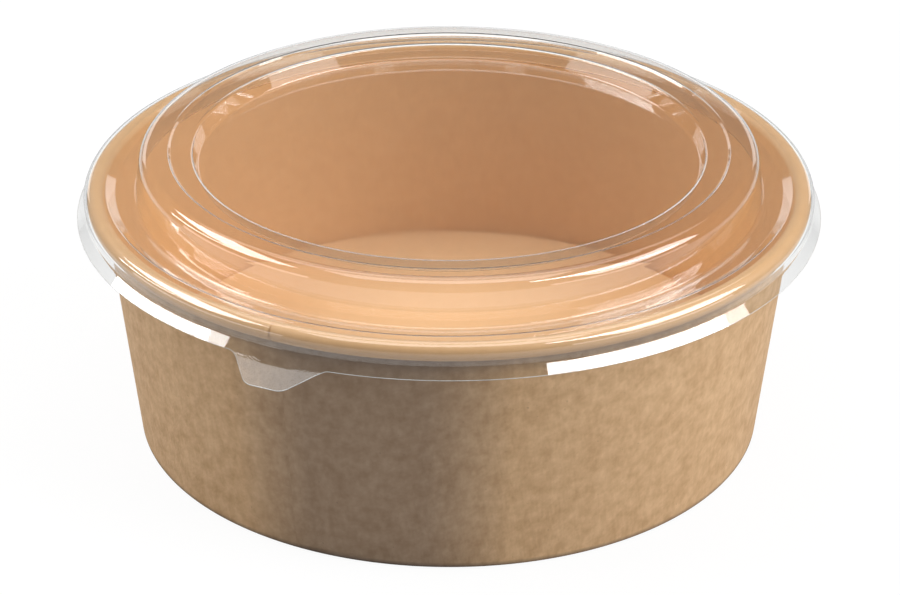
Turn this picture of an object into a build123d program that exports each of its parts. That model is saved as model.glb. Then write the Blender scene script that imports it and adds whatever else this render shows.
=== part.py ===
from build123d import *
import math
import os

# A round take-away bowl of kraft board with a clear press-on lid. Lengths are in millimetres.
# The origin is the centre of the foot, +Z is up, and -Y is the front.

# Bowl
rim_diameter = 185.0
base_diameter = 162.8
bowl_height = 67.0
board = 0.45
glue_line = 0.05

# Rolled rim of the wall
curl_diameter = 4.5
curl_turn_deg = 312

# Folded hem of the wall, and the bottom disc that it holds
hem_length = 8.4
foot_flat = 0.06
disc_height = 11.0
disc_bend = 1.2

# Lap seam of the wrapped wall
seam_direction_deg = -117
seam_fade_deg = 16
seam_step = 0.35
seam_gap = 1.3
notch_width = 0.5
notch_depth = 0.28

# Lid: film, and its fit on the rim
film = 0.35
rim_clearance = 0.3
seat_clearance = 0.3
snap_depth = 0.5

# Lid: from the rim inwards
ramp_width = 2.7
channel_width = 5.2
channel_drop = 1.2
channel_fall = 0.7
plug_draft = 1.5
deck_rise = 9.8
deck_width = 6.9
ledge_step = 0.7
ledge_drop = 0.7
ledge_width = 5.4
panel_step = 1.4
panel_drop = 4.1

# Lid: bead, skirt and pull tab, outside the rim
waist_drop = 5.3
skirt_drop = 8.3
flare_width = 2.3
tab_direction_deg = -114.8
tab_root_width = 22.0
tab_tip_width = 9.7
tab_length = 7.2
tab_droop = 2.9
tab_tip_bend = 4.2
tab_root_bend = 4.0

# Lid: bends of the formed film
panel_bend = 0.9
ledge_bend = 0.5
deck_bend = 3.4
channel_bend = 0.8
ramp_bend = 1.4
bead_bend = 2.6
waist_bend = 0.9

# How far a cutting shape runs past what it cuts
overrun = 5.0

rim_radius = rim_diameter / 2
base_radius = base_diameter / 2
curl_radius = curl_diameter / 2
half_board = board / 2

# Middle line of the wall, as distances from the axis and heights. The straight leg touches the hem's fold on its
# outside and the curl on its inside, so its lean follows from the base, the rim and the height. The fold is pressed
# flat where the bowl stands on it.
fold_radius = board + glue_line
curl_mid_radius = curl_radius - half_board
fold_centre = Vector(base_radius - fold_radius - half_board, fold_radius + half_board - foot_flat)
curl_centre = Vector(rim_radius - curl_radius, bowl_height - curl_radius)
span = curl_centre - fold_centre
lean = math.atan2(span.Y, span.X) + math.asin((curl_mid_radius + fold_radius) / span.length)
along = Vector(math.cos(lean), math.sin(lean))
outward = Vector(math.sin(lean), -math.cos(lean))
foot = fold_centre + outward * fold_radius
head = curl_centre - outward * curl_mid_radius


def sheet(path, thickness):
    """A sheet turned once round the axis: its middle line is the path, drawn as distance and height."""
    return revolve(Plane.XZ * trace(path, line_width=thickness), Axis.Z)


def sector(section, start_deg, turn_deg):
    """A section carried round the axis from one direction to another."""
    return Rot(0, 0, start_deg) * revolve(Plane.XZ * section, Axis.Z, turn_deg)


def make_lap():
    """The outer end of the wrapped sheet. It stands proud of the wall at the seam and fades into it.

    The layer is the wall's own leg, carried round from the seam and shifted sideways, so that it stands out by the
    seam's step at one end and by nothing at the other. What lies inside the wall's middle line is taken off."""
    low = foot + along * seam_gap
    high = head - along * seam_gap
    inner = outward * -half_board
    outer = outward * half_board
    layer = Polygon(low + inner, low + outer, high + outer, high + inner, align=None)
    core = Polygon((0, low.Y), low, high, (0, high.Y), align=None)
    shift = seam_step / math.sin(math.radians(seam_fade_deg))
    shift_direction = math.radians(seam_direction_deg + seam_fade_deg - 90)
    sideways = Pos(shift * math.cos(shift_direction), shift * math.sin(shift_direction), 0)
    return sideways * sector(layer, seam_direction_deg, seam_fade_deg) - revolve(Plane.XZ * core, Axis.Z)


def make_seam_notch():
    """The cut edge of the sheet where the seam runs over the curl: a narrow groove in its top and outside."""
    ring = Circle(curl_radius + overrun) - Circle(curl_radius - notch_depth)
    outside = Pos(curl_radius + overrun, 0) * Rectangle(2 * curl_radius + 2 * overrun, 2 * curl_radius + 2 * overrun)
    groove = Pos(curl_centre.X, curl_centre.Y) * (ring & outside)
    turn_deg = math.degrees(notch_width / rim_radius)
    return sector(groove, seam_direction_deg, turn_deg)


def make_sidewall():
    """The wrapped wall, one sheet: rolled rim, straight leg, folded hem and lap seam."""
    lean_deg = math.degrees(lean)
    hem_foot = fold_centre - outward * fold_radius
    curl = CenterArc(curl_centre, curl_mid_radius, lean_deg + 90, -curl_turn_deg)
    leg = Line(head, foot)
    fold = CenterArc(fold_centre, fold_radius, lean_deg - 90, -180)
    hem = Line(hem_foot, hem_foot + along * hem_length)
    below = Pos(0, 0, -overrun / 2) * Cylinder(rim_radius, overrun)
    return sheet(curl + leg + fold + hem, board) + make_lap() - make_seam_notch() - below


def make_bottom_disc():
    """The disc, its border turned down as a skirt that stands in the fold, between wall and hem."""
    middle_height = disc_height - half_board
    corner = fold_centre + along * ((middle_height - fold_centre.Y) / along.Y)
    return sheet(FilletPolyline((0, middle_height), corner, fold_centre, radius=disc_bend), board)


def lid_outline():
    """The line that the lid is trimmed to, seen from above: a circle with the tongue of the pull tab on +X."""
    root = tab_root_width / 2
    tip = tab_tip_width / 2
    inside = lid_radius - tab_length
    tongue = Polygon(
        (inside, -root - (root - tip)),
        (lid_radius + tab_length, -tip),
        (lid_radius + tab_length, tip),
        (inside, root + (root - tip)),
        align=None,
    )
    outline = Circle(lid_radius) + tongue
    outline = fillet(outline.vertices().sort_by(Axis.X)[-4:-2], tab_root_bend)
    return fillet(outline.vertices().sort_by(Axis.X)[-2:], tab_tip_bend)


def make_lid():
    """The formed film, trimmed to its outline with the pull tab left on."""
    crest_height = bowl_height + seat_clearance + film / 2
    bead_inner = rim_radius - curl_diameter
    bead_outer = waist_radius + snap_depth
    channel_outer = bead_inner - ramp_width
    channel_inner = channel_outer - channel_width
    shoulder = channel_inner - plug_draft
    deck_inner = shoulder - deck_width
    ledge_outer = deck_inner - ledge_step
    ledge_inner = ledge_outer - ledge_width
    panel_radius = ledge_inner - panel_step
    deck_height = bowl_height + deck_rise - film / 2
    ledge_height = deck_height - ledge_drop
    panel_height = ledge_height - panel_drop
    channel_height = bowl_height - channel_drop
    edge_height = crest_height - skirt_drop
    crease = lid_radius + film
    path = FilletPolyline(
        (0, panel_height),
        (panel_radius, panel_height),
        (ledge_inner, ledge_height),
        (ledge_outer, ledge_height),
        (deck_inner, deck_height),
        (shoulder, deck_height),
        (channel_inner, channel_height - channel_fall),
        (channel_outer, channel_height),
        (bead_inner, crest_height),
        (bead_outer, crest_height),
        (waist_radius, crest_height - waist_drop),
        (crease, edge_height),
        (crease + tab_length, edge_height - tab_droop),
        radius=[
            panel_bend,
            panel_bend,
            ledge_bend,
            ledge_bend,
            deck_bend,
            channel_bend,
            channel_bend,
            ramp_bend,
            bead_bend,
            waist_bend,
            film,
        ],
    )
    trim = extrude(Rot(0, 0, tab_direction_deg) * lid_outline(), bowl_height + deck_rise + overrun)
    return sheet(path, film) & trim


waist_radius = rim_radius + rim_clearance + film / 2
lid_radius = waist_radius + flare_width

os.makedirs("parts", exist_ok=True)
export_step(make_sidewall(), "parts/sidewall.step")
export_step(make_bottom_disc(), "parts/bottom_disc.step")
export_step(make_lid(), "parts/lid.step")
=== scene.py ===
import logging
import math
from dataclasses import dataclass, replace
from enum import Enum

import bpy
import numpy as np
from mathutils import Matrix, Quaternion, Vector


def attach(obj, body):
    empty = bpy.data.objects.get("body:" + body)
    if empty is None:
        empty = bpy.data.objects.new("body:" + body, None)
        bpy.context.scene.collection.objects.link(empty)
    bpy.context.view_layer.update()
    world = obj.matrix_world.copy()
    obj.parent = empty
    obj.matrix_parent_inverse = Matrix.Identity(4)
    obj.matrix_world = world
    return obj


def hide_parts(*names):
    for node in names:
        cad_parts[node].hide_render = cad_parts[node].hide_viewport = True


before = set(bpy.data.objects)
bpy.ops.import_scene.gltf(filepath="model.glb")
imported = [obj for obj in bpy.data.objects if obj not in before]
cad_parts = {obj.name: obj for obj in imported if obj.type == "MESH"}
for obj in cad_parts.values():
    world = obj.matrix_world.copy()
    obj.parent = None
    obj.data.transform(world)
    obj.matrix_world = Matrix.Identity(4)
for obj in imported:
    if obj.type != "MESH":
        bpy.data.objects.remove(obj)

# A kraft board bowl with a clear press-on lid. Lengths are in metres, in the frame's axes: the origin is the
# centre of the foot, +Z is up, and -Y is the front. Sizes are those of the solids, apart from the lid's
# channel, which is arched a little over theirs.

logging.basicConfig(level=logging.INFO, format="%(name)s: %(message)s")
log = logging.getLogger("bowl")

MM = 0.001
Pair = tuple[float, float]
Colour = tuple[float, float, float, float]
Stretch = tuple[np.ndarray, np.ndarray]
Material = bpy.types.Material
Socket = bpy.types.NodeSocket

WHITE: Colour = (1.0, 1.0, 1.0, 1.0)
SAME_POINT = 1e-7
SAME_ANGLE = 1e-9
SAME_DIRECTION = 1e-6


class Body(Enum):
    """The two bodies of the frame that the pieces ride on."""

    BOWL = "bowl"
    LID = "lid"


class Side(Enum):
    """The two sides of the wall's board, as the number of their finish on the faces."""

    BARE = 0
    COATED = 1


# Lines and surfaces


@dataclass(frozen=True)
class MiddleLine:
    """The middle line of a sheet in the plane of the axis.

    Attributes:
        points: distance from the axis and height, one row a point.
        normals: unit normals on the left of the line, one row a point.
        lengths: how far along the line each point lies.
    """

    points: np.ndarray
    normals: np.ndarray
    lengths: np.ndarray


def joined(parts: list[Stretch]) -> MiddleLine:
    """Joins stretches of a line, each given as points and normals, and measures its length.

    Args:
        parts: the stretches in order. Where one starts on the last one's end, that point is kept once.

    Returns:
        The whole line.
    """
    points = np.vstack([points for points, _ in parts])
    normals = np.vstack([normals for _, normals in parts])
    steps = np.hypot(*np.diff(points, axis=0).T)
    kept = np.concatenate(([True], steps > SAME_POINT))
    lengths = np.concatenate(([0.0], np.cumsum(steps)))
    return MiddleLine(points[kept], normals[kept], lengths[kept])


def straight(start: np.ndarray, end: np.ndarray, stations: np.ndarray) -> Stretch:
    """A straight stretch: start + (end - start) * station. Its normal is its direction, turned to the left.

    Args:
        start: where it begins.
        end: where it ends.
        stations: shares of its length from 0 to 1.

    Returns:
        Points and normals.
    """
    run = end - start
    unit = run / np.hypot(*run)
    points = start + stations[:, None] * run
    return points, np.tile([-unit[1], unit[0]], (len(stations), 1))


def arc(centre: np.ndarray, radius: float, start: float, turn: float, step: float) -> Stretch:
    """A circular stretch: centre + radius * (cos a, sin a), as the angle a runs from start to start + turn.

    Args:
        centre: the circle's centre.
        radius: its radius.
        start: the first angle, in radians.
        turn: how far it turns, in radians, positive to the left.
        step: the largest angle between two points.

    Returns:
        Points and normals. The left normal points to the centre on a left turn, and away on a right turn.
    """
    count = max(3, math.ceil(abs(turn) / step)) + 1
    angles = start + np.linspace(0.0, turn, count)
    spokes = np.column_stack((np.cos(angles), np.sin(angles)))
    return centre + radius * spokes, -math.copysign(1.0, turn) * spokes


def bent_line(corners: list[Pair], bends: list[float], step: float, spacing: float) -> MiddleLine:
    """A line through corners, with each inner corner rounded to an arc that touches both its runs.

    An arc of radius r over a turn t starts r * tan(t / 2) before its corner. Its centre lies r to the side.

    Args:
        corners: distances from the axis and heights.
        bends: the radius at each inner corner.
        step: the largest angle between two points of a bend.
        spacing: the largest distance between two points of a straight run.

    Returns:
        The rounded line.
    """
    at = np.array(corners, dtype=float)
    parts = []
    begin = at[0]
    for corner, after, before, bend in zip(at[1:-1], at[2:], at[:-2], bends):
        inward = (corner - before) / np.hypot(*(corner - before))
        outward = (after - corner) / np.hypot(*(after - corner))
        across = inward[0] * outward[1] - inward[1] * outward[0]
        turn = math.atan2(across, float(inward @ outward))
        reach = bend * math.tan(abs(turn) / 2)
        side = math.copysign(1.0, turn)
        touch = corner - inward * reach
        left = np.array([-inward[1], inward[0]])
        centre = touch + side * bend * left
        spoke = touch - centre
        count = max(1, math.ceil(np.hypot(*(touch - begin)) / spacing))
        parts.append(straight(begin, touch, np.linspace(0.0, 1.0, count + 1)))
        parts.append(arc(centre, bend, math.atan2(spoke[1], spoke[0]), turn, step))
        begin = corner + outward * reach
    count = max(1, math.ceil(np.hypot(*(at[-1] - begin)) / spacing))
    parts.append(straight(begin, at[-1], np.linspace(0.0, 1.0, count + 1)))
    return joined(parts)


def carried_round(outwards: np.ndarray, upwards: np.ndarray, directions: np.ndarray) -> np.ndarray:
    """Carries places or normals round the axis: (outwards * cos a, outwards * sin a, upwards) at the angle a.

    Args:
        outwards: how far they point away from the axis, rows by columns.
        upwards: how far they point up, rows by columns.
        directions: the angle of each column, in radians.

    Returns:
        One row of x, y and z for each.
    """
    x = outwards * np.cos(directions)
    y = outwards * np.sin(directions)
    return np.stack((x, y, upwards), axis=-1).reshape(-1, 3)


def ring_quads(rows: int, columns: int, closed: bool) -> tuple[np.ndarray, np.ndarray, np.ndarray]:
    """The corners of each quad between rings: (row, column), the next row, the next column of both, and back.

    Args:
        rows: how many rings there are.
        columns: how many points each ring has.
        closed: True if the last ring is joined to the first.

    Returns:
        Vertex numbers, row numbers and unwrapped column numbers, each four to a quad.
    """
    row, column = np.meshgrid(np.arange(rows if closed else rows - 1), np.arange(columns), indexing="ij")
    row_corners = np.stack((row, row + 1, row + 1, row), axis=-1).reshape(-1, 4)
    column_corners = np.stack((column, column, column + 1, column + 1), axis=-1).reshape(-1, 4)
    numbers = (row_corners % rows) * columns + column_corners % columns
    return numbers, row_corners, column_corners


@dataclass
class TurnedShell:
    """A sheet turned round the axis, as a grid: rows run along its section and columns round the axis.

    Attributes:
        radius: distance from the axis, rows by columns.
        height: height above the floor, rows by columns.
        slope: section normals as (outwards, upwards), rows by columns by 2.
        directions: the angle of each column, in radians, rising through less than a turn.
        along: the length along the section that each row of the UV map has.
        around: the radius at which the UV map measures round the axis.
        closed: True if the section is a closed loop, and False if it starts and ends on the axis.
    """

    radius: np.ndarray
    height: np.ndarray
    slope: np.ndarray
    directions: np.ndarray
    along: np.ndarray
    around: float
    closed: bool

    def mesh(self, name: str) -> bpy.types.Mesh:
        """Builds the mesh, with a fan and one vertex at each end of the section where it meets the axis.

        Args:
            name: the mesh's name.

        Returns:
            A mesh with a UV map in metres: round the axis, and along the section.
        """
        rows, columns = self.radius.shape
        vertices = carried_round(self.radius, self.height, self.directions)
        normals = carried_round(self.slope[..., 0], self.slope[..., 1], self.directions)
        numbers, row_corners, column_corners = ring_quads(rows, columns, self.closed)
        faces = numbers.tolist()
        angles = np.append(self.directions, self.directions[0] + math.tau) - self.directions[0]
        around = (angles * self.around)[column_corners].reshape(-1)
        along = np.append(self.along, 2 * self.along[-1] - self.along[-2])[row_corners].reshape(-1)
        if not self.closed:
            column = np.arange(columns)
            after = (column + 1) % columns
            poles = np.array([[0.0, 0.0, self.height[0, 0]], [0.0, 0.0, self.height[-1, 0]]])
            start = np.column_stack((np.full(columns, rows * columns), column, after))
            last = (rows - 1) * columns
            end = np.column_stack((last + column, np.full(columns, rows * columns + 1), last + after))
            faces += start.tolist() + end.tolist()
            vertices = np.vstack((vertices, poles))
            normals = np.vstack((normals, [[0.0, 0.0, 1.0], [0.0, 0.0, -1.0]]))
            spread = self.around * angles
            wedge = np.column_stack((spread[:-1], spread[:-1], spread[1:])).reshape(-1)
            around = np.concatenate((around, wedge, wedge))
            reach = self.radius[0, 0]
            fan = np.tile([self.along[0] - reach, self.along[0], self.along[0]], columns)
            back = np.tile([self.along[-1], self.along[-1] + reach, self.along[-1]], columns)
            along = np.concatenate((along, fan, back))
        mesh = bpy.data.meshes.new(name)
        mesh.from_pydata(vertices.tolist(), [], faces)
        sheet = mesh.uv_layers.new(name="sheet")
        sheet.data.foreach_set("uv", np.column_stack((around, along)).reshape(-1))
        mesh.shade_smooth()
        mesh.normals_split_custom_set_from_vertices(normals.tolist())
        return mesh


def linked(name: str, data: bpy.types.ID) -> bpy.types.Object:
    """Makes an object and puts it into the scene.

    Args:
        name: the object's name.
        data: its mesh, lamp or camera.

    Returns:
        The new object.
    """
    made = bpy.data.objects.new(name, data)
    bpy.context.scene.collection.objects.link(made)
    return made


def placed(mesh: bpy.types.Mesh, node: str, body: Body, slot: str, *materials: Material) -> bpy.types.Object:
    """Makes the object of a finished mesh, which stands for a solid of the frame.

    Args:
        mesh: the mesh, already where it belongs.
        node: the solid it stands for.
        body: the body it moves with.
        slot: the record's material slot; not used.
        materials: its finishes, in the order of their numbers on the faces.

    Returns:
        The new object, at the origin.
    """
    piece = linked(mesh.name, mesh)
    for material in materials:
        mesh.materials.append(material)
    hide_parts(node)
    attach(piece, body.value)
    return piece


# Node trees


class Tree:
    """A short way to write a node tree: nodes are added from left to right and wired by socket name."""

    def __init__(self, nodes: bpy.types.NodeTree) -> None:
        """Keeps the tree that the nodes go into."""
        self.tree = nodes

    def add(self, kind: str, settings: dict[str, object] | None = None, **inputs: object) -> bpy.types.Node:
        """Adds one node.

        Args:
            kind: the node's type.
            settings: its properties.
            inputs: its inputs by name with _ for a space, as a value or as the socket to wire in.

        Returns:
            The node.
        """
        node = self.tree.nodes.new(kind)
        for name, value in (settings or {}).items():
            setattr(node, name, value)
        for name, value in inputs.items():
            self.feed(node.inputs[name.replace("_", " ")], value)
        return node

    def feed(self, socket: Socket, value: object) -> None:
        """Wires a socket into an input, or sets the input to a plain value.

        Args:
            socket: the input.
            value: the value, or the socket to wire in.
        """
        if isinstance(value, Socket):
            self.tree.links.new(value, socket)
        else:
            socket.default_value = value

    def math(self, operation: str, first: object, second: object = 0.0) -> Socket:
        """One sum of two numbers.

        Args:
            operation: which sum it is.
            first: a value or a socket.
            second: a value or a socket.

        Returns:
            The socket of the result.
        """
        node = self.add("ShaderNodeMath", {"operation": operation})
        self.feed(node.inputs[0], first)
        self.feed(node.inputs[1], second)
        return node.outputs[0]

    def scaled(self, value: object, middle: float, factor: float) -> Socket:
        """How far a value lies above the middle, times the factor."""
        return self.math("MULTIPLY", self.math("SUBTRACT", value, middle), factor)

    def mixed(self, share: object, first: object, second: object, blend: str = "MIX") -> Socket:
        """The first colour where the share is 0, and where it is 1 the second, or their blend."""
        settings = {"data_type": "RGBA", "blend_type": blend}
        return self.add("ShaderNodeMix", settings, Factor=share, A=first, B=second).outputs["Result"]

    def ranged(self, value: object, start: Pair, end: Pair = (0.0, 1.0)) -> Socket:
        """Carries the range start to the range end, and holds the value at its limits beyond them."""
        limits = dict(zip(("From_Min", "From_Max", "To_Min", "To_Max"), start + end))
        return self.add("ShaderNodeMapRange", Value=value, **limits).outputs["Result"]

    def noise(self, vector: object, scale: float, detail: float = 2.0, roughness: float = 0.5) -> Socket:
        """A soft random pattern from 0 to 1."""
        node = self.add("ShaderNodeTexNoise", Vector=vector, Scale=scale, Detail=detail, Roughness=roughness)
        return node.outputs[0]

    def place(self) -> Socket:
        """The place on the object, in metres from its origin."""
        return self.add("ShaderNodeTexCoord").outputs["Object"]

    def blend(self, share: object, first: bpy.types.Node, second: bpy.types.Node) -> bpy.types.Node:
        """Mixes two shaders.

        Args:
            share: 0 where only the first shows, and 1 where only the second does.
            first: one shader.
            second: the other.

        Returns:
            The mixed shader.
        """
        node = self.add("ShaderNodeMixShader", Fac=share)
        self.feed(node.inputs[1], first.outputs[0])
        self.feed(node.inputs[2], second.outputs[0])
        return node

    def show(self, shader: bpy.types.Node) -> None:
        """Wires a shader to the material's output."""
        self.add("ShaderNodeOutputMaterial", Surface=shader.outputs[0])


def new_group(name: str, inputs: dict[str, str], outputs: dict[str, str]) -> tuple[Tree, bpy.types.Node]:
    """Starts a node group with named sockets.

    Args:
        name: the group's name.
        inputs: each input's kind of socket.
        outputs: each output's kind of socket.

    Returns:
        The group's tree and its input node.
    """
    group = bpy.data.node_groups.new(name, "ShaderNodeTree")
    for way, sockets in (("INPUT", inputs), ("OUTPUT", outputs)):
        for label, kind in sockets.items():
            group.interface.new_socket(label, in_out=way, socket_type=f"NodeSocket{kind}")
    return Tree(group), group.nodes.new("NodeGroupInput")


def new_material(name: str) -> tuple[Material, Tree]:
    """Starts a material.

    Args:
        name: its name.

    Returns:
        The material and its empty node tree.
    """
    made = bpy.data.materials.new(name)
    made.use_nodes = True
    made.node_tree.nodes.clear()
    return made, Tree(made.node_tree)


@dataclass(frozen=True)
class Strand:
    """A pattern drawn out into strands: its turn in radians, and its size across and along them in metres."""

    turn: float
    wide: float
    long: float


STRANDS = (
    Strand(0.2, 1.5 * MM, 7.0 * MM),
    Strand(-0.15, 1.1 * MM, 5.0 * MM),
    Strand(0.9, 1.0 * MM, 2.6 * MM),
)
CLOUD_SCALE = 75.0
MOTTLE_SCALE = 270.0
SPECK_SCALE = 900.0
CLOUD_SHARE = 0.9
MOTTLE_SHARE = 2.4
FIBRE_SHARE = 0.22
FIBRE_MEAN = 1.1
NOISE_MEAN = 0.5
SPECK_SHARE = 0.35
STRAND_RANGE: Pair = (0.35, 0.75)
TONE_RANGE: Pair = (-0.5, 0.5)
SPECK_RANGE: Pair = (0.74, 0.8)


def pulp_group() -> bpy.types.NodeTree:
    """Unbleached board: clouds of pulp, mottles, strands of fibre and a few dark shives.

    The tone runs from the deep to the pale colour by a sum of soft patterns. Three of them are drawn out up
    the sheet and turned against each other, which makes the strands. The height follows strands and mottles.

    Returns:
        The group, which takes a vector in metres on the flat sheet.
    """
    tree, given = new_group(
        "pulp",
        {"Vector": "Vector", "Pale": "Color", "Deep": "Color", "Shive": "Color", "Strength": "Float"},
        {"Color": "Color", "Tone": "Float", "Height": "Float"},
    )
    vector = given.outputs["Vector"]
    strands = []
    for strand in STRANDS:
        turned = tree.add(
            "ShaderNodeMapping",
            {"vector_type": "TEXTURE"},
            Vector=vector,
            Rotation=(0.0, 0.0, strand.turn),
            Scale=(strand.wide, strand.long, 1.0),
        ).outputs[0]
        strands.append(tree.ranged(tree.noise(turned, 1.0, 1.0), STRAND_RANGE))
    fibres = tree.math("ADD", tree.math("ADD", strands[0], strands[1]), strands[2])
    clouds = tree.noise(vector, CLOUD_SCALE, 2.0)
    mottles = tree.noise(vector, MOTTLE_SCALE, 3.0, 0.6)
    tone = tree.scaled(clouds, NOISE_MEAN, CLOUD_SHARE)
    tone = tree.math("ADD", tone, tree.scaled(mottles, NOISE_MEAN, MOTTLE_SHARE))
    tone = tree.math("ADD", tone, tree.scaled(fibres, FIBRE_MEAN, FIBRE_SHARE))
    tone = tree.math("MULTIPLY", tone, given.outputs["Strength"])
    share = tree.ranged(tone, TONE_RANGE)
    board = tree.mixed(share, given.outputs["Deep"], given.outputs["Pale"])
    specks = tree.ranged(tree.noise(vector, SPECK_SCALE, 1.0), SPECK_RANGE)
    flecked = tree.mixed(tree.math("MULTIPLY", specks, SPECK_SHARE), board, given.outputs["Shive"])
    out = tree.add("NodeGroupOutput")
    tree.feed(out.inputs["Color"], flecked)
    tree.feed(out.inputs["Tone"], share)
    tree.feed(out.inputs["Height"], tree.math("ADD", fibres, mottles))
    return tree.tree


# Finishes


@dataclass(frozen=True)
class BoardFinish:
    """Kraft board, bare or with a thin clear coating, with tints of painted shade. A white tint leaves the
    board as it is.

    Attributes:
        name: the material's name.
        pale: colour of the lightest pulp.
        deep: colour of the darkest pulp.
        shive: colour of the dark flecks.
        strength: how strongly the pulp's tone varies.
        painted_seam_shade: painted shade, a darker zone beside the seam.
        dull: roughness of the dullest places.
        bright: roughness of the smoothest places.
        coat: weight of the clear coating.
        relief: height of the fibres, in metres.
        seam_shade_radius: the radius at which the UV map measures round the wall.
        seam_shade_middle: the middle of the painted shade, as an angle from the seam.
        seam_shade_edge: cosines of the angles from there at which the painted shade starts and is full.
        fold: painted shade along the fold at the foot.
        foot_shade_zone: where along the section that painted shade starts and is full.
        shade: painted shade on the strip under the rolled rim.
        shade_zone: where along the section that painted shade is still full and has ended.
        bump: strength of the relief.
        coat_roughness: roughness of the coating.
        specular: level of the board's own gloss.
    """

    name: str
    pale: Colour
    deep: Colour
    shive: Colour
    strength: float
    dull: float
    bright: float
    coat: float
    relief: float
    painted_seam_shade: Colour = WHITE
    seam_shade_radius: float = 81.4 * MM
    seam_shade_middle: float = math.radians(13.5)
    seam_shade_edge: Pair = (0.915, 0.985)
    fold: Colour = WHITE
    foot_shade_zone: Pair = (74.8 * MM, 75.8 * MM)
    shade: Colour = WHITE
    shade_zone: Pair = (14.0 * MM, 19.0 * MM)
    bump: float = 0.6
    coat_roughness: float = 0.24
    specular: float = 0.35

    def material(self, pulp: bpy.types.NodeTree) -> Material:
        """Builds the material.

        Args:
            pulp: the shared group of clouds, mottles and strands.

        Returns:
            A Principled material on the sheet's own UV map.
        """
        made, tree = new_material(self.name)
        sheet = tree.add("ShaderNodeUVMap", {"uv_map": "sheet"}).outputs[0]
        board = tree.add(
            "ShaderNodeGroup",
            {"node_tree": pulp},
            Vector=sheet,
            Pale=self.pale,
            Deep=self.deep,
            Shive=self.shive,
            Strength=self.strength,
        )
        place = tree.add("ShaderNodeSeparateXYZ", Vector=sheet).outputs
        direction = tree.math("DIVIDE", place["X"], self.seam_shade_radius)
        nearness = tree.math("COSINE", tree.math("SUBTRACT", direction, self.seam_shade_middle))
        colour = board.outputs["Color"]
        for share, tint in (
            # Painted shade: a darker zone beside the seam, multiplied into the board.
            (tree.ranged(nearness, self.seam_shade_edge), self.painted_seam_shade),
            # Painted shade along the fold at the foot.
            (tree.ranged(place["Y"], self.foot_shade_zone), self.fold),
            # Painted shade on the strip under the rolled rim.
            (tree.ranged(place["Y"], self.shade_zone, (1.0, 0.0)), self.shade),
        ):
            colour = tree.mixed(share, colour, tint, "MULTIPLY")
        roughness = tree.ranged(board.outputs["Tone"], (0.0, 1.0), (self.dull, self.bright))
        bump = tree.add(
            "ShaderNodeBump", Strength=self.bump, Distance=self.relief, Height=board.outputs["Height"]
        )
        shader = tree.add(
            "ShaderNodeBsdfPrincipled",
            Base_Color=colour,
            Roughness=roughness,
            Normal=bump.outputs[0],
            Coat_Weight=self.coat,
            Coat_Roughness=self.coat_roughness,
            Specular_IOR_Level=self.specular,
        )
        tree.show(shader)
        return made


@dataclass(frozen=True)
class FilmFinish:
    """Clear formed film, which lets the lamps through to what it covers.

    Attributes:
        name: the material's name.
        colour: tint of the film.
        passing: tint that the lamps' light takes at each face.
        roughness: roughness of the smooth film.
        haze: extra roughness in the cloudiest places.
        ripple: height of the slow waves that forming leaves, in metres.
        index: index of refraction.
        cloud_scale: how finely the cloudy places lie, in noise cells to a metre.
        cloud_range: noise at which the extra roughness starts and is full.
        wave_scale: how finely the waves lie.
    """

    name: str
    colour: Colour
    passing: Colour
    roughness: float
    haze: float
    ripple: float
    index: float
    cloud_scale: float = 55.0
    cloud_range: Pair = (0.45, 0.75)
    wave_scale: float = 38.0

    def material(self) -> Material:
        """Glass for what is seen, and clear for the rays that light what lies behind the film.

        Returns:
            A Principled shader of full transmission, mixed with a transparent one.
        """
        made, tree = new_material(self.name)
        place = tree.place()
        cloud = tree.noise(place, self.cloud_scale, 2.0)
        roughness = tree.ranged(cloud, self.cloud_range, (self.roughness, self.roughness + self.haze))
        waves = tree.noise(place, self.wave_scale, 1.0)
        bump = tree.add("ShaderNodeBump", Strength=1.0, Distance=self.ripple, Height=waves)
        glass = tree.add(
            "ShaderNodeBsdfPrincipled",
            Base_Color=self.colour,
            Roughness=roughness,
            Normal=bump.outputs[0],
            IOR=self.index,
            Transmission_Weight=1.0,
        )
        clear = tree.add("ShaderNodeBsdfTransparent", Color=self.passing)
        path = tree.add("ShaderNodeLightPath")
        lighting = tree.math("MAXIMUM", path.outputs["Is Shadow Ray"], path.outputs["Is Diffuse Ray"])
        tree.show(tree.blend(lighting, glass, clear))
        return made


@dataclass(frozen=True)
class EdgeFinish:
    """The cut edge of the film, which the trimming leaves milky.

    Attributes:
        name: the material's name.
        milky: its colour where the cut is rough.
        clean: its colour where the cut is clean.
        roughness: its roughness where the cut is clean and where it is rough.
        cut_scale: how finely the cut changes, in noise cells to a metre.
        cut_range: noise up to which the cut is clean, and from which it is rough.
    """

    name: str
    milky: Colour
    clean: Colour
    roughness: Pair = (0.2, 0.45)
    cut_scale: float = 160.0
    cut_range: Pair = (0.35, 0.65)

    def material(self) -> Material:
        """Matt to satin along the edge, as the cut changes.

        Returns:
            A Principled material.
        """
        made, tree = new_material(self.name)
        cut = tree.ranged(tree.noise(tree.place(), self.cut_scale, 2.0), self.cut_range)
        colour = tree.mixed(cut, self.clean, self.milky)
        roughness = tree.ranged(cut, (0.0, 1.0), self.roughness)
        shader = tree.add("ShaderNodeBsdfPrincipled", Base_Color=colour, Roughness=roughness)
        tree.show(shader)
        return made


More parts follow.
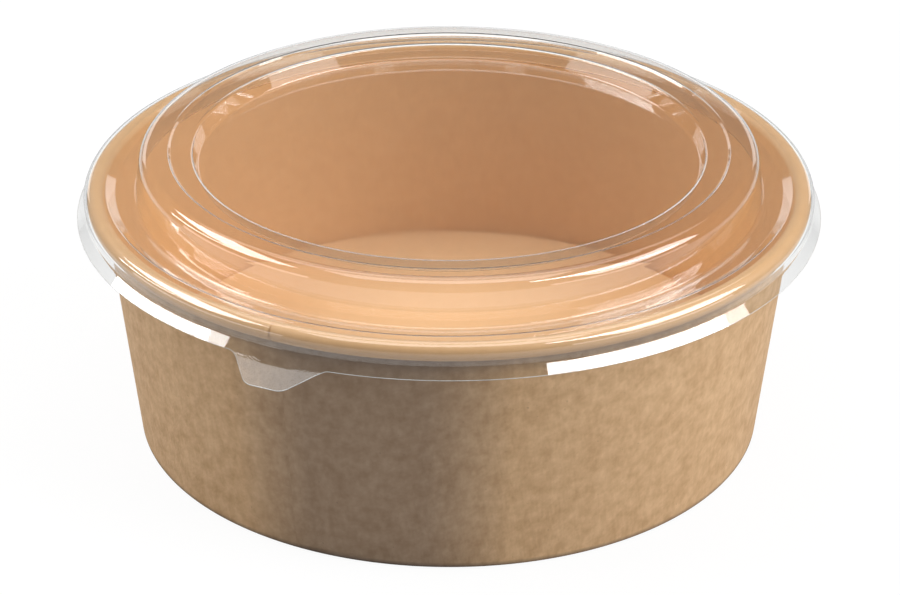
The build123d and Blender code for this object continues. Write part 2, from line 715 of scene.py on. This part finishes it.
@dataclass(frozen=True)
class FloorFinish:
    """The pale floor, which is also the white background, seen straight or through the film.

    Attributes:
        name: the material's name.
        colour: its colour for the light it throws back.
        seen: its colour where it is seen.
        glow: share of plain white in what is seen of it.
        roughness: its roughness where it is smoothest and where it is roughest.
        grain_scale: how finely the roughness changes, in noise cells to a metre.
        grain_range: noise at which the floor is smoothest and at which it is roughest.
        specular: level of its gloss.
    """

    name: str
    colour: Colour
    seen: Colour
    glow: float
    roughness: Pair = (0.75, 0.9)
    grain_scale: float = 9.0
    grain_range: Pair = (0.3, 0.7)
    specular: float = 0.1

    def material(self) -> Material:
        """A matt floor, mixed with plain white for what is seen of it, so that a soft shadow stays.

        Returns:
            A Principled shader, mixed with an even glow.
        """
        made, tree = new_material(self.name)
        grain = tree.noise(tree.place(), self.grain_scale, 3.0)
        roughness = tree.ranged(grain, self.grain_range, self.roughness)
        path = tree.add("ShaderNodeLightPath")
        seen = tree.math("MAXIMUM", path.outputs["Is Camera Ray"], path.outputs["Is Transmission Ray"])
        colour = tree.mixed(seen, self.colour, self.seen)
        matt = tree.add(
            "ShaderNodeBsdfPrincipled",
            Base_Color=colour,
            Roughness=roughness,
            Specular_IOR_Level=self.specular,
        )
        white = tree.add("ShaderNodeEmission", Color=WHITE, Strength=1.0)
        tree.show(tree.blend(tree.math("MULTIPLY", seen, self.glow), matt, white))
        return made


OUTSIDE = BoardFinish(
    name="kraft_outside",
    pale=(0.74, 0.49, 0.275, 1.0),
    deep=(0.56, 0.345, 0.178, 1.0),
    shive=(0.27, 0.16, 0.085, 1.0),
    strength=0.9,
    # Painted shade: a darker zone beside the seam.
    painted_seam_shade=(0.6, 0.64, 0.77, 1.0),
    dull=0.62,
    bright=0.5,
    coat=0.0,
    relief=0.05 * MM,
    # Painted shade along the fold at the foot.
    fold=(0.5, 0.52, 0.58, 1.0),
    # Painted shade on the strip under the rolled rim.
    shade=(0.48, 0.5, 0.57, 1.0),
)
LINING = BoardFinish(
    name="kraft_lining",
    pale=(0.72, 0.44, 0.222, 1.0),
    deep=(0.62, 0.36, 0.166, 1.0),
    shive=(0.4, 0.22, 0.1, 1.0),
    strength=0.35,
    dull=0.46,
    bright=0.38,
    coat=0.2,
    relief=0.02 * MM,
)
DISC = replace(LINING, name="kraft_disc", pale=(0.81, 0.525, 0.295, 1.0), deep=(0.72, 0.445, 0.232, 1.0))
FILM = FilmFinish(
    name="clear_film",
    colour=(0.985, 0.99, 0.985, 1.0),
    passing=(0.97, 0.97, 0.965, 1.0),
    roughness=0.02,
    haze=0.03,
    ripple=0.03 * MM,
    index=1.6,
)
CUT_EDGE = EdgeFinish(name="film_cut_edge", milky=(0.86, 0.86, 0.84, 1.0), clean=(0.62, 0.62, 0.6, 1.0))
FLOOR = FloorFinish(
    name="pale_floor", colour=(0.38, 0.38, 0.38, 1.0), seen=(0.95, 0.95, 0.95, 1.0), glow=0.92
)


# The bowl


@dataclass
class BoardBowl:
    """The wrapped wall and the disc glued into its foot.

    Attributes:
        rim_radius, base_radius, height, board, glue_line: main sizes, as the solids have them.
        curl_radius, curl_turn: the rolled rim.
        hem_length, foot_flat, disc_height, disc_bend: the folded hem and the disc.
        seam_direction, seam_fade, seam_step, seam_gap: the lap seam.
        notch_width, notch_depth: the sheet's cut edge where the seam runs over the rim.
        columns, disc_columns: steps round the axis.
        edge: width of the narrow faces beside a step in the surface.
        leg_rows, hem_rows: points on the leg between its steps, and on the hem.
        curl_step, fold_step, bend_step: the largest angle between two points of a bend.
        disc_start, disc_spacing: where the disc's rows start, and how far apart they are.
    """

    rim_radius: float = 92.5 * MM
    base_radius: float = 81.4 * MM
    height: float = 67.0 * MM
    board: float = 0.45 * MM
    glue_line: float = 0.05 * MM
    curl_radius: float = 2.25 * MM
    curl_turn: float = math.radians(312)
    hem_length: float = 8.4 * MM
    foot_flat: float = 0.06 * MM
    disc_height: float = 11.0 * MM
    disc_bend: float = 1.2 * MM
    seam_direction: float = math.radians(-117)
    seam_fade: float = math.radians(16)
    seam_step: float = 0.35 * MM
    seam_gap: float = 1.3 * MM
    notch_width: float = 0.5 * MM
    notch_depth: float = 0.28 * MM
    columns: int = 400
    disc_columns: int = 240
    edge: float = 0.04 * MM
    leg_rows: int = 22
    hem_rows: int = 4
    curl_step: float = math.radians(8)
    fold_step: float = math.radians(15)
    bend_step: float = math.radians(12)
    disc_start: float = 12.0 * MM
    disc_spacing: float = 9.0 * MM

    def __post_init__(self) -> None:
        """Works out the touching circles of the curl and the fold, and the leg that leans against both."""
        fold = self.board + self.glue_line
        half = self.board / 2
        self.fold_radius = fold
        self.curl_mid = self.curl_radius - half
        self.fold_centre = np.array([self.base_radius - fold - half, fold + half - self.foot_flat])
        self.curl_centre = np.array([self.rim_radius - self.curl_radius, self.height - self.curl_radius])
        span = self.curl_centre - self.fold_centre
        reach = float(np.hypot(*span))
        self.lean = math.atan2(span[1], span[0]) + math.asin((self.curl_mid + fold) / reach)
        self.upwards = np.array([math.cos(self.lean), math.sin(self.lean)])
        self.outwards = np.array([math.sin(self.lean), -math.cos(self.lean)])
        self.foot = self.fold_centre + self.outwards * fold
        self.head = self.curl_centre - self.outwards * self.curl_mid
        self.leg_length = float(np.hypot(*(self.head - self.foot)))

    def wall_line(self) -> MiddleLine:
        """The wall's middle line: from the curl's free end over the rim, down the leg and round into the hem.

        Returns:
            The arc of the curl, the straight leg, the half turn of the fold and the straight hem.
        """
        free = self.lean + math.pi / 2 - self.curl_turn
        near = self.seam_gap / self.leg_length
        soft = self.edge / self.leg_length
        inner = np.linspace(near + soft, 1 - near - soft, self.leg_rows)
        stations = np.concatenate(([0.0, near - soft], inner, [1 - near + soft, 1.0]))
        hem_foot = self.fold_centre - self.outwards * self.fold_radius
        hem_top = hem_foot + self.upwards * self.hem_length
        return joined([
            arc(self.curl_centre, self.curl_mid, free, self.curl_turn, self.curl_step),
            straight(self.head, self.foot, stations),
            arc(self.fold_centre, self.fold_radius, self.lean - math.pi / 2, -math.pi, self.fold_step),
            straight(hem_foot, hem_top, np.linspace(0.0, 1.0, self.hem_rows)),
        ])

    def wall_directions(self) -> np.ndarray:
        """Even steps round the axis from the seam, with close pairs beside the seam and the notch.

        Returns:
            Angles in radians, rising.
        """
        even = np.linspace(0.0, math.tau, self.columns, endpoint=False)
        notch = self.notch_width / self.rim_radius
        hair = self.edge / self.rim_radius
        marks = np.array([notch, notch + hair, math.tau - hair])
        clear = even[np.all(np.abs(even[:, None] - marks) > 2 * hair, axis=1)]
        return self.seam_direction + np.sort(np.concatenate((clear, marks)))

    def wall_shell(self) -> tuple[TurnedShell, np.ndarray]:
        """The wall as a closed section: the bare face forward along the line, then the coated face back.

        The outside of the leg stands out beside the seam by seam_step * (1 - angle / seam_fade). On the curl
        the coated face drops by notch_depth over the notch.

        Returns:
            The shell, and the side of the sheet that each row's faces show.
        """
        line = self.wall_line()
        half = self.board / 2
        outer = line.points + line.normals * half
        inner = (line.points - line.normals * half)[::-1]
        angle = self.wall_directions() - self.seam_direction
        section = np.vstack((outer, inner))
        facing = np.vstack((line.normals, -line.normals[::-1]))
        count = len(outer)
        to_foot = (outer - self.foot) @ self.upwards
        on_leg = (to_foot > self.seam_gap) & (to_foot < self.leg_length - self.seam_gap)
        on_leg &= np.abs((outer - self.foot) @ self.outwards - half) < self.edge
        rise = np.clip(1 - angle / self.seam_fade, 0.0, 1.0) * self.seam_step
        shift = np.zeros((2 * count, len(angle)))
        shift[:count] = on_leg[:, None] * rise[None, :]
        from_curl = inner - self.curl_centre
        on_curl = (np.hypot(*from_curl.T) > self.curl_mid) & (from_curl[:, 0] > 0)
        on_curl &= np.hypot(*from_curl.T) < self.curl_radius + self.edge
        cut = (angle <= self.notch_width / self.rim_radius + SAME_ANGLE) * -self.notch_depth
        shift[count:] += on_curl[:, None] * cut[None, :]
        radius = section[:, :1] + facing[:, :1] * shift
        height = np.maximum(section[:, 1:] + facing[:, 1:] * shift, 0.0)
        slope = np.repeat(facing[:, None, :], len(angle), axis=1)
        along = np.concatenate((line.lengths, 2 * line.lengths[-1] - line.lengths[::-1]))
        shell = TurnedShell(
            radius, height, slope, angle + self.seam_direction, along, self.base_radius, closed=True
        )
        sides = [Side.BARE.value, Side.COATED.value, Side.BARE.value]
        side = np.repeat(sides, [count, count - 1, 1])
        return shell, side

    def wall_mesh(self) -> bpy.types.Mesh:
        """Builds the wall from its shell.

        Returns:
            A mesh with the bare board as finish 0 and the coated side as finish 1.
        """
        shell, side = self.wall_shell()
        mesh = shell.mesh("wall_sheet")
        finish = np.repeat(side, shell.radius.shape[1]).astype(np.int32)
        mesh.polygons.foreach_set("material_index", finish)
        return mesh

    def disc_mesh(self) -> bpy.types.Mesh:
        """Builds the bottom disc: a flat sheet whose border turns down as a skirt between wall and hem.

        Returns:
            A mesh with one finish.
        """
        half = self.board / 2
        middle = self.disc_height - half
        corner = self.fold_centre + self.upwards * ((middle - self.fold_centre[1]) / self.upwards[1])
        corners = [(self.disc_start, middle), tuple(corner), tuple(self.fold_centre)]
        line = bent_line(corners, [self.disc_bend], self.bend_step, self.disc_spacing)
        return doubled_shell(line, self.board, self.disc_columns, self.base_radius).mesh("bottom_sheet")

    def build(self, outside: Material, lining: Material, disc_board: Material) -> list[bpy.types.Object]:
        """Makes the wall and the disc.

        Args:
            outside: finish of the bare board.
            lining: finish of the wall's coated side.
            disc_board: finish of the disc.

        Returns:
            Both pieces.
        """
        wall = placed(self.wall_mesh(), "sidewall", Body.BOWL, "kraft_board", outside, lining)
        disc = placed(self.disc_mesh(), "bottom_disc", Body.BOWL, "kraft_lining", disc_board)
        return [wall, disc]


def doubled_shell(line: MiddleLine, thickness: float, columns: int, around: float) -> TurnedShell:
    """A sheet closed over the axis: its upper face out along the line, then its lower face back.

    Args:
        line: the middle line, from near the axis outwards.
        thickness: the sheet's thickness.
        columns: how many steps go round.
        around: the radius at which the UV map measures.

    Returns:
        The shell, whose first and last rows are closed by fans.
    """
    offset = line.normals * (thickness / 2)
    section = np.vstack((line.points + offset, (line.points - offset)[::-1]))
    facing = np.vstack((line.normals, -line.normals[::-1]))
    along = np.concatenate((line.lengths, 2 * line.lengths[-1] - line.lengths[::-1] + thickness))
    directions = np.linspace(-math.pi, math.pi, columns, endpoint=False)
    radius = np.repeat(section[:, :1], columns, axis=1)
    height = np.repeat(section[:, 1:], columns, axis=1)
    slope = np.repeat(facing[:, None, :], columns, axis=1)
    return TurnedShell(radius, height, slope, directions, along, around, closed=False)


# The lid


@dataclass
class FilmLid:
    """The formed film, from its sunk panel to its flared skirt, with the pull tab.

    Attributes:
        film, rim_radius, waist_radius, edge_radius: main sizes, as the solid has them.
        tab_direction, tab_root_width, tab_tip_width, tab_length, tab_root_bend, tab_tip_bend: the pull tab.
        tab_step: distance between two points of the tab's outline.
        tab_turn: the largest angle between two points of the outline's bends.
        columns: steps round the rest of the lid.
        skirt_rows, crowding: rows from the waist to the cut, and the power that crowds them at the waist.
        lip: how far the cut edge's round lip reaches.
        past_bead: the waist and the skirt lie farther out and lower than this radius and height.
        bend_step, spacing: largest angle on a bend, and largest distance on a straight run.
        fine_step, fine_spacing: the same for the line that the skirt's heights are read from.
    """

    film: float = 0.35 * MM
    rim_radius: float = 92.5 * MM
    waist_radius: float = 92.975 * MM
    edge_radius: float = 95.275 * MM
    tab_direction: float = math.radians(-114.8)
    tab_root_width: float = 22.0 * MM
    tab_tip_width: float = 9.7 * MM
    tab_length: float = 7.2 * MM
    tab_root_bend: float = 4.0 * MM
    tab_tip_bend: float = 4.2 * MM
    tab_step: float = 0.45 * MM
    tab_turn: float = math.radians(6)
    columns: int = 340
    skirt_rows: int = 14
    crowding: float = 1.25
    lip: float = 0.14 * MM
    past_bead: Pair = (92.0 * MM, 63.2 * MM)
    bend_step: float = math.radians(11)
    spacing: float = 7.0 * MM
    fine_step: float = math.radians(3)
    fine_spacing: float = 0.3 * MM

    def corners(self) -> list[Pair]:
        """Corners of the film's middle line, outwards from the axis.

        Returns:
            The radius and the height of each.
        """
        return [
            (12.0 * MM, 71.825 * MM),
            (64.2 * MM, 71.825 * MM),
            (65.6 * MM, 75.925 * MM),
            (71.0 * MM, 75.925 * MM),
            (71.7 * MM, 76.625 * MM),
            (78.6 * MM, 76.625 * MM),
            (80.1 * MM, 65.1 * MM),
            (82.7 * MM, 65.65 * MM),
            (85.3 * MM, 65.8 * MM),
            (88.0 * MM, 67.475 * MM),
            (93.475 * MM, 67.475 * MM),
            (self.waist_radius, 62.175 * MM),
            (95.625 * MM, 59.175 * MM),
            (102.825 * MM, 56.275 * MM),
        ]

    def bends(self) -> list[float]:
        """The radius of each bend of the middle line."""
        return [size * MM for size in (0.9, 0.9, 0.5, 0.5, 3.4, 0.8, 14.0, 0.8, 1.4, 2.6, 0.9, 0.35)]

    def trimmed(self) -> tuple[np.ndarray, np.ndarray]:
        """How far out the film is cut in each direction round the axis, over the tab's side of the lid.

        The tongue is a line of four corners, rounded where it leaves the circle and at its tip. Each of its
        points gives one direction and one distance.

        Returns:
            Directions from the tab's own, rising, and the distance of the cut in each.
        """
        root = self.tab_root_width / 2
        tip = self.tab_tip_width / 2
        tip_x = self.edge_radius + self.tab_length
        slope = (root - tip) / self.tab_length
        normal = np.array([slope, 1.0]) / math.hypot(slope, 1.0)
        wide = self.root_centre(root, normal)
        start = -wide
        turn = math.atan2(start[0] * -normal[1] - start[1] * -normal[0], float(start @ -normal))
        concave, _ = arc(wide, self.tab_root_bend, math.atan2(start[1], start[0]), turn, self.tab_turn)
        lean = math.atan2(1.0, slope)
        centre = np.array([tip_x - self.tab_tip_bend, tip - self.tab_tip_bend * math.tan(lean / 2)])
        convex, _ = arc(centre, self.tab_tip_bend, lean, -lean, self.tab_turn)
        tongue = np.vstack((concave, convex, [[tip_x, 0.0]]))
        lengths = np.concatenate(([0.0], np.cumsum(np.hypot(*np.diff(tongue, axis=0).T))))
        stations = np.linspace(0.0, lengths[-1], math.ceil(lengths[-1] / self.tab_step) + 1)
        tongue = np.column_stack([np.interp(stations, lengths, tongue[:, k]) for k in (0, 1)])
        away = np.arctan2(tongue[:, 1], tongue[:, 0])
        far = np.hypot(*tongue.T)
        return np.concatenate((-away, away[-2::-1])), np.concatenate((far, far[-2::-1]))

    def root_centre(self, root: float, normal: np.ndarray) -> np.ndarray:
        """Centre of the bend at the tab's root: tab_root_bend away from both the circle and the tab's side.

        Args:
            root: half the tab's width where it leaves the circle.
            normal: the direction that the tab's side faces.

        Returns:
            The centre, as seen from above with the tab on +X.
        """
        base = np.array([self.edge_radius, root]) + normal * self.tab_root_bend
        run = np.array([-normal[1], normal[0]])
        target = self.edge_radius + self.tab_root_bend
        half = float(base @ run)
        rest = float(base @ base) - target * target
        return base - run * (half + math.sqrt(half * half - rest))

    def cut(self) -> tuple[np.ndarray, np.ndarray]:
        """The film's cut edge all the way round.

        Returns:
            Directions in radians, rising, and the distance of the edge in each.
        """
        around, far = self.trimmed()
        keep = np.concatenate(([True], np.diff(around) > SAME_DIRECTION))
        around = around[keep]
        far = far[keep]
        gap = math.tau - (around[-1] - around[0])
        plain = np.linspace(around[-1], around[-1] + gap, self.columns + 2)[1:-1]
        directions = np.concatenate((around, plain)) + self.tab_direction
        return directions, np.concatenate((far, np.full(self.columns, self.edge_radius)))

    def shell(self) -> TurnedShell:
        """The film as a closed grid.

        Inside the waist every column has the same section. Beyond it the rows spread from the waist to that
        direction's cut edge, closer together at the waist. Each has the height and slope that the section has
        at its radius. A narrow round lip joins the two faces.

        Returns:
            The shell, both faces of the film.
        """
        line = bent_line(self.corners(), self.bends(), self.bend_step, self.spacing)
        directions, far = self.cut()
        outer = (line.points[:, 0] > self.past_bead[0]) & (line.points[:, 1] < self.past_bead[1])
        narrow = int(np.argmin(np.where(outer, line.points[:, 0], np.inf)))
        inside = slice(0, narrow + 1)
        fine = bent_line(self.corners(), self.bends(), self.fine_step, self.fine_spacing)
        fine_narrow = int(np.argmin(np.abs(fine.lengths - line.lengths[narrow])))
        table = fine.points[fine_narrow:]
        table_normals = fine.normals[fine_narrow:]
        share = np.linspace(0.0, 1.0, self.skirt_rows + 1)[1:, None] ** self.crowding
        start = line.points[narrow, 0]
        radius = start + share * (far - self.lip - start)
        height = np.interp(radius, table[:, 0], table[:, 1])
        facing = np.stack([np.interp(radius, table[:, 0], table_normals[:, k]) for k in (0, 1)], axis=-1)
        facing /= np.linalg.norm(facing, axis=-1, keepdims=True)
        columns = len(directions)
        inner_points = np.repeat(line.points[inside, None, :], columns, axis=1)
        inner_normals = np.repeat(line.normals[inside, None, :], columns, axis=1)
        middle = np.concatenate((inner_points, np.stack((radius, height), axis=-1)))
        normals = np.concatenate((inner_normals, facing))
        offset = normals * (self.film / 2)
        run = np.stack((normals[-1, :, 1], -normals[-1, :, 0]), axis=-1)
        tip = middle[-1] + run * self.lip
        section = np.concatenate((middle + offset, tip[None], (middle - offset)[::-1]))
        slope = np.concatenate((normals, run[None], -normals[::-1]))
        beyond = line.lengths[narrow] + np.mean(radius - start, axis=1)
        lengths = np.concatenate((line.lengths[inside], beyond))
        back = 2 * lengths[-1] + 2 * self.lip - lengths[::-1]
        along = np.concatenate((lengths, lengths[-1:] + self.lip, back))
        return TurnedShell(
            section[..., 0], section[..., 1], slope, directions, along, self.rim_radius, closed=False
        )

    def build(self, film: Material, cut_edge: Material) -> list[bpy.types.Object]:
        """Makes the lid as one piece of film, with its faces as finish 0 and its cut edge as finish 1.

        Args:
            film: finish of the formed faces.
            cut_edge: finish of the cut edge.

        Returns:
            The one piece, in a list.
        """
        shell = self.shell()
        mesh = shell.mesh("formed_film")
        rows, columns = shell.radius.shape
        finish = np.zeros(len(mesh.polygons), dtype=np.int32)
        edge_row = rows // 2
        finish[(edge_row - 1) * columns:(edge_row + 1) * columns] = 1
        mesh.polygons.foreach_set("material_index", finish)
        return [placed(mesh, "lid", Body.LID, "clear_film", film, cut_edge)]


# The studio


@dataclass(frozen=True)
class Softbox:
    """A flat soft lamp that faces the bowl.

    Attributes:
        name: the lamp's name.
        azimuth: where it stands, in degrees from the front towards +X.
        elevation: how high its middle is, in degrees above the floor.
        distance: how far its middle is from the bowl.
        wide: degrees that it spans sideways, seen from the bowl.
        tall: degrees that it spans upwards.
        radiance: how bright its face is, where 1 is white.
        lean: how far it is turned in its own plane, in degrees, clockwise as seen from the bowl.
        aim_height: height of the point on the bowl's axis that it faces.
    """

    name: str
    azimuth: float
    elevation: float
    distance: float
    wide: float
    tall: float
    radiance: float
    lean: float = 0.0
    aim_height: float = 50.0 * MM

    def build(self) -> None:
        """Makes the lamp. A flat lamp's power is its radiance times pi times its area."""
        turn = math.radians(self.azimuth)
        lift = math.radians(self.elevation)
        away = Vector((math.sin(turn) * math.cos(lift), -math.cos(turn) * math.cos(lift), math.sin(lift)))
        data = bpy.data.lights.new(self.name, "AREA")
        data.shape = "RECTANGLE"
        data.size = 2 * self.distance * math.tan(math.radians(self.wide / 2))
        data.size_y = 2 * self.distance * math.tan(math.radians(self.tall / 2))
        data.energy = self.radiance * math.pi * data.size * data.size_y
        lamp = linked(self.name, data)
        lamp.location = Vector((0.0, 0.0, self.aim_height)) + away * self.distance
        leaned = Quaternion((0.0, 0.0, 1.0), math.radians(self.lean))
        lamp.rotation_euler = (away.to_track_quat("Z", "Y") @ leaned).to_euler()


@dataclass
class Studio:
    """The camera, the lamps, the floor and the dim room round them.

    Attributes:
        focal: focal length over the image's width.
        elevation: how far the camera looks down, in degrees.
        roll: its turn about its own axis, in degrees.
        distance: from the point it looks at.
        aim: that point, as right and up from the origin in the plane of the image.
        room: brightness of the room beyond the lamps.
        sensor: width of the camera's sensor, in millimetres.
        clip: the nearest and the farthest that the camera sees.
        floor_rings: radii of the floor's rings.
        floor_columns: steps round the floor.
        floor_gap: how far the floor lies under the foot.
        lamps: the soft lamps.
    """

    focal: float = 3033.65 / 900
    elevation: float = 27.5206
    roll: float = 0.1203
    distance: float = 8.7499 * 92.5 * MM
    aim: Pair = (0.0031 * 92.5 * MM, 0.3041 * 92.5 * MM)
    room: float = 0.14
    sensor: float = 36.0
    clip: Pair = (0.01, 50.0)
    floor_rings: tuple[float, ...] = (0.3, 1.0, 3.0, 8.0, 20.0, 40.0)
    floor_columns: int = 96
    floor_gap: float = 0.05 * MM
    lamps: tuple[Softbox, ...] = (
        Softbox("right_softbox", 76.0, 37.0, 1.3, 44.0, 30.0, 4.8),
        Softbox("right_strip", 66.0, 40.5, 1.0, 48.0, 6.0, 9.5, lean=-26.0),
        Softbox("right_low_softbox", 62.0, 7.6, 1.3, 54.0, 11.0, 1.75),
        Softbox("left_softbox", -104.0, 45.0, 1.3, 46.0, 20.0, 6.2),
        Softbox("left_strip", -98.0, 26.5, 1.0, 36.0, 3.5, 9.0, lean=30.0),
        Softbox("left_low_softbox", -76.0, 7.6, 1.3, 56.0, 11.0, 1.8),
        Softbox("top_softbox", 0.0, 82.0, 1.1, 46.0, 28.0, 1.9),
        Softbox("back_high_softbox", 180.0, 68.0, 1.1, 46.0, 16.0, 1.6),
        Softbox("back_low_softbox", 180.0, 50.0, 1.1, 50.0, 12.0, 1.0),
        Softbox("back_card", 180.0, 11.0, 1.3, 70.0, 14.0, 1.0),
    )

    def camera(self) -> None:
        """Places the camera: it looks from the front and down by the elevation, rolled about its own axis."""
        tilt = math.radians(self.elevation)
        turn = math.radians(self.roll)
        ahead = Vector((0.0, math.cos(tilt), -math.sin(tilt)))
        right = Vector((1.0, 0.0, 0.0))
        up = Vector((0.0, math.sin(tilt), math.cos(tilt)))
        x_axis = math.cos(turn) * right + math.sin(turn) * up
        y_axis = math.cos(turn) * up - math.sin(turn) * right
        place = right * self.aim[0] + up * self.aim[1] - ahead * self.distance
        data = bpy.data.cameras.new("camera")
        data.sensor_width = self.sensor
        data.lens = self.focal * self.sensor
        data.clip_start, data.clip_end = self.clip
        camera = linked("camera", data)
        axes = Matrix((x_axis, y_axis, -ahead)).transposed().to_4x4()
        camera.matrix_world = Matrix.Translation(place) @ axes
        bpy.context.scene.camera = camera

    def floor(self) -> None:
        """A wide disc just under the foot, which runs on to the horizon."""
        count = self.floor_columns
        angles = np.linspace(0.0, math.tau, count, endpoint=False)
        rings = np.repeat(np.array(self.floor_rings)[:, None], count, axis=1)
        points = carried_round(rings, np.full_like(rings, -self.floor_gap), angles)
        quads, _, _ = ring_quads(len(rings), count, closed=False)
        mesh = bpy.data.meshes.new("floor")
        mesh.from_pydata(points.tolist(), [], quads.tolist() + [list(range(count))])
        mesh.materials.append(FLOOR.material())
        floor = linked("floor", mesh)

    def build(self) -> None:
        """Sets the view, the room, the floor, the lamps and the camera."""
        scene = bpy.context.scene
        scene.view_settings.view_transform = "Standard"
        world = bpy.data.worlds.new("room")
        world.use_nodes = True
        background = world.node_tree.nodes["Background"]
        background.inputs["Color"].default_value = WHITE
        background.inputs["Strength"].default_value = self.room
        scene.world = world
        self.floor()
        for lamp in self.lamps:
            lamp.build()
        self.camera()


def main() -> None:
    """Builds the pieces and the studio."""
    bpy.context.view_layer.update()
    pulp = pulp_group()
    outside = OUTSIDE.material(pulp)
    lining = LINING.material(pulp)
    film = FILM.material()
    pieces = BoardBowl().build(outside, lining, DISC.material(pulp))
    pieces += FilmLid().build(film, CUT_EDGE.material())
    for piece in pieces:
        faces = len(piece.data.polygons)
        log.info("%s: %d faces, finishes %s", piece.name, faces, piece.data.materials.keys())
    Studio().build()


if __name__ == "__main__":
    main()
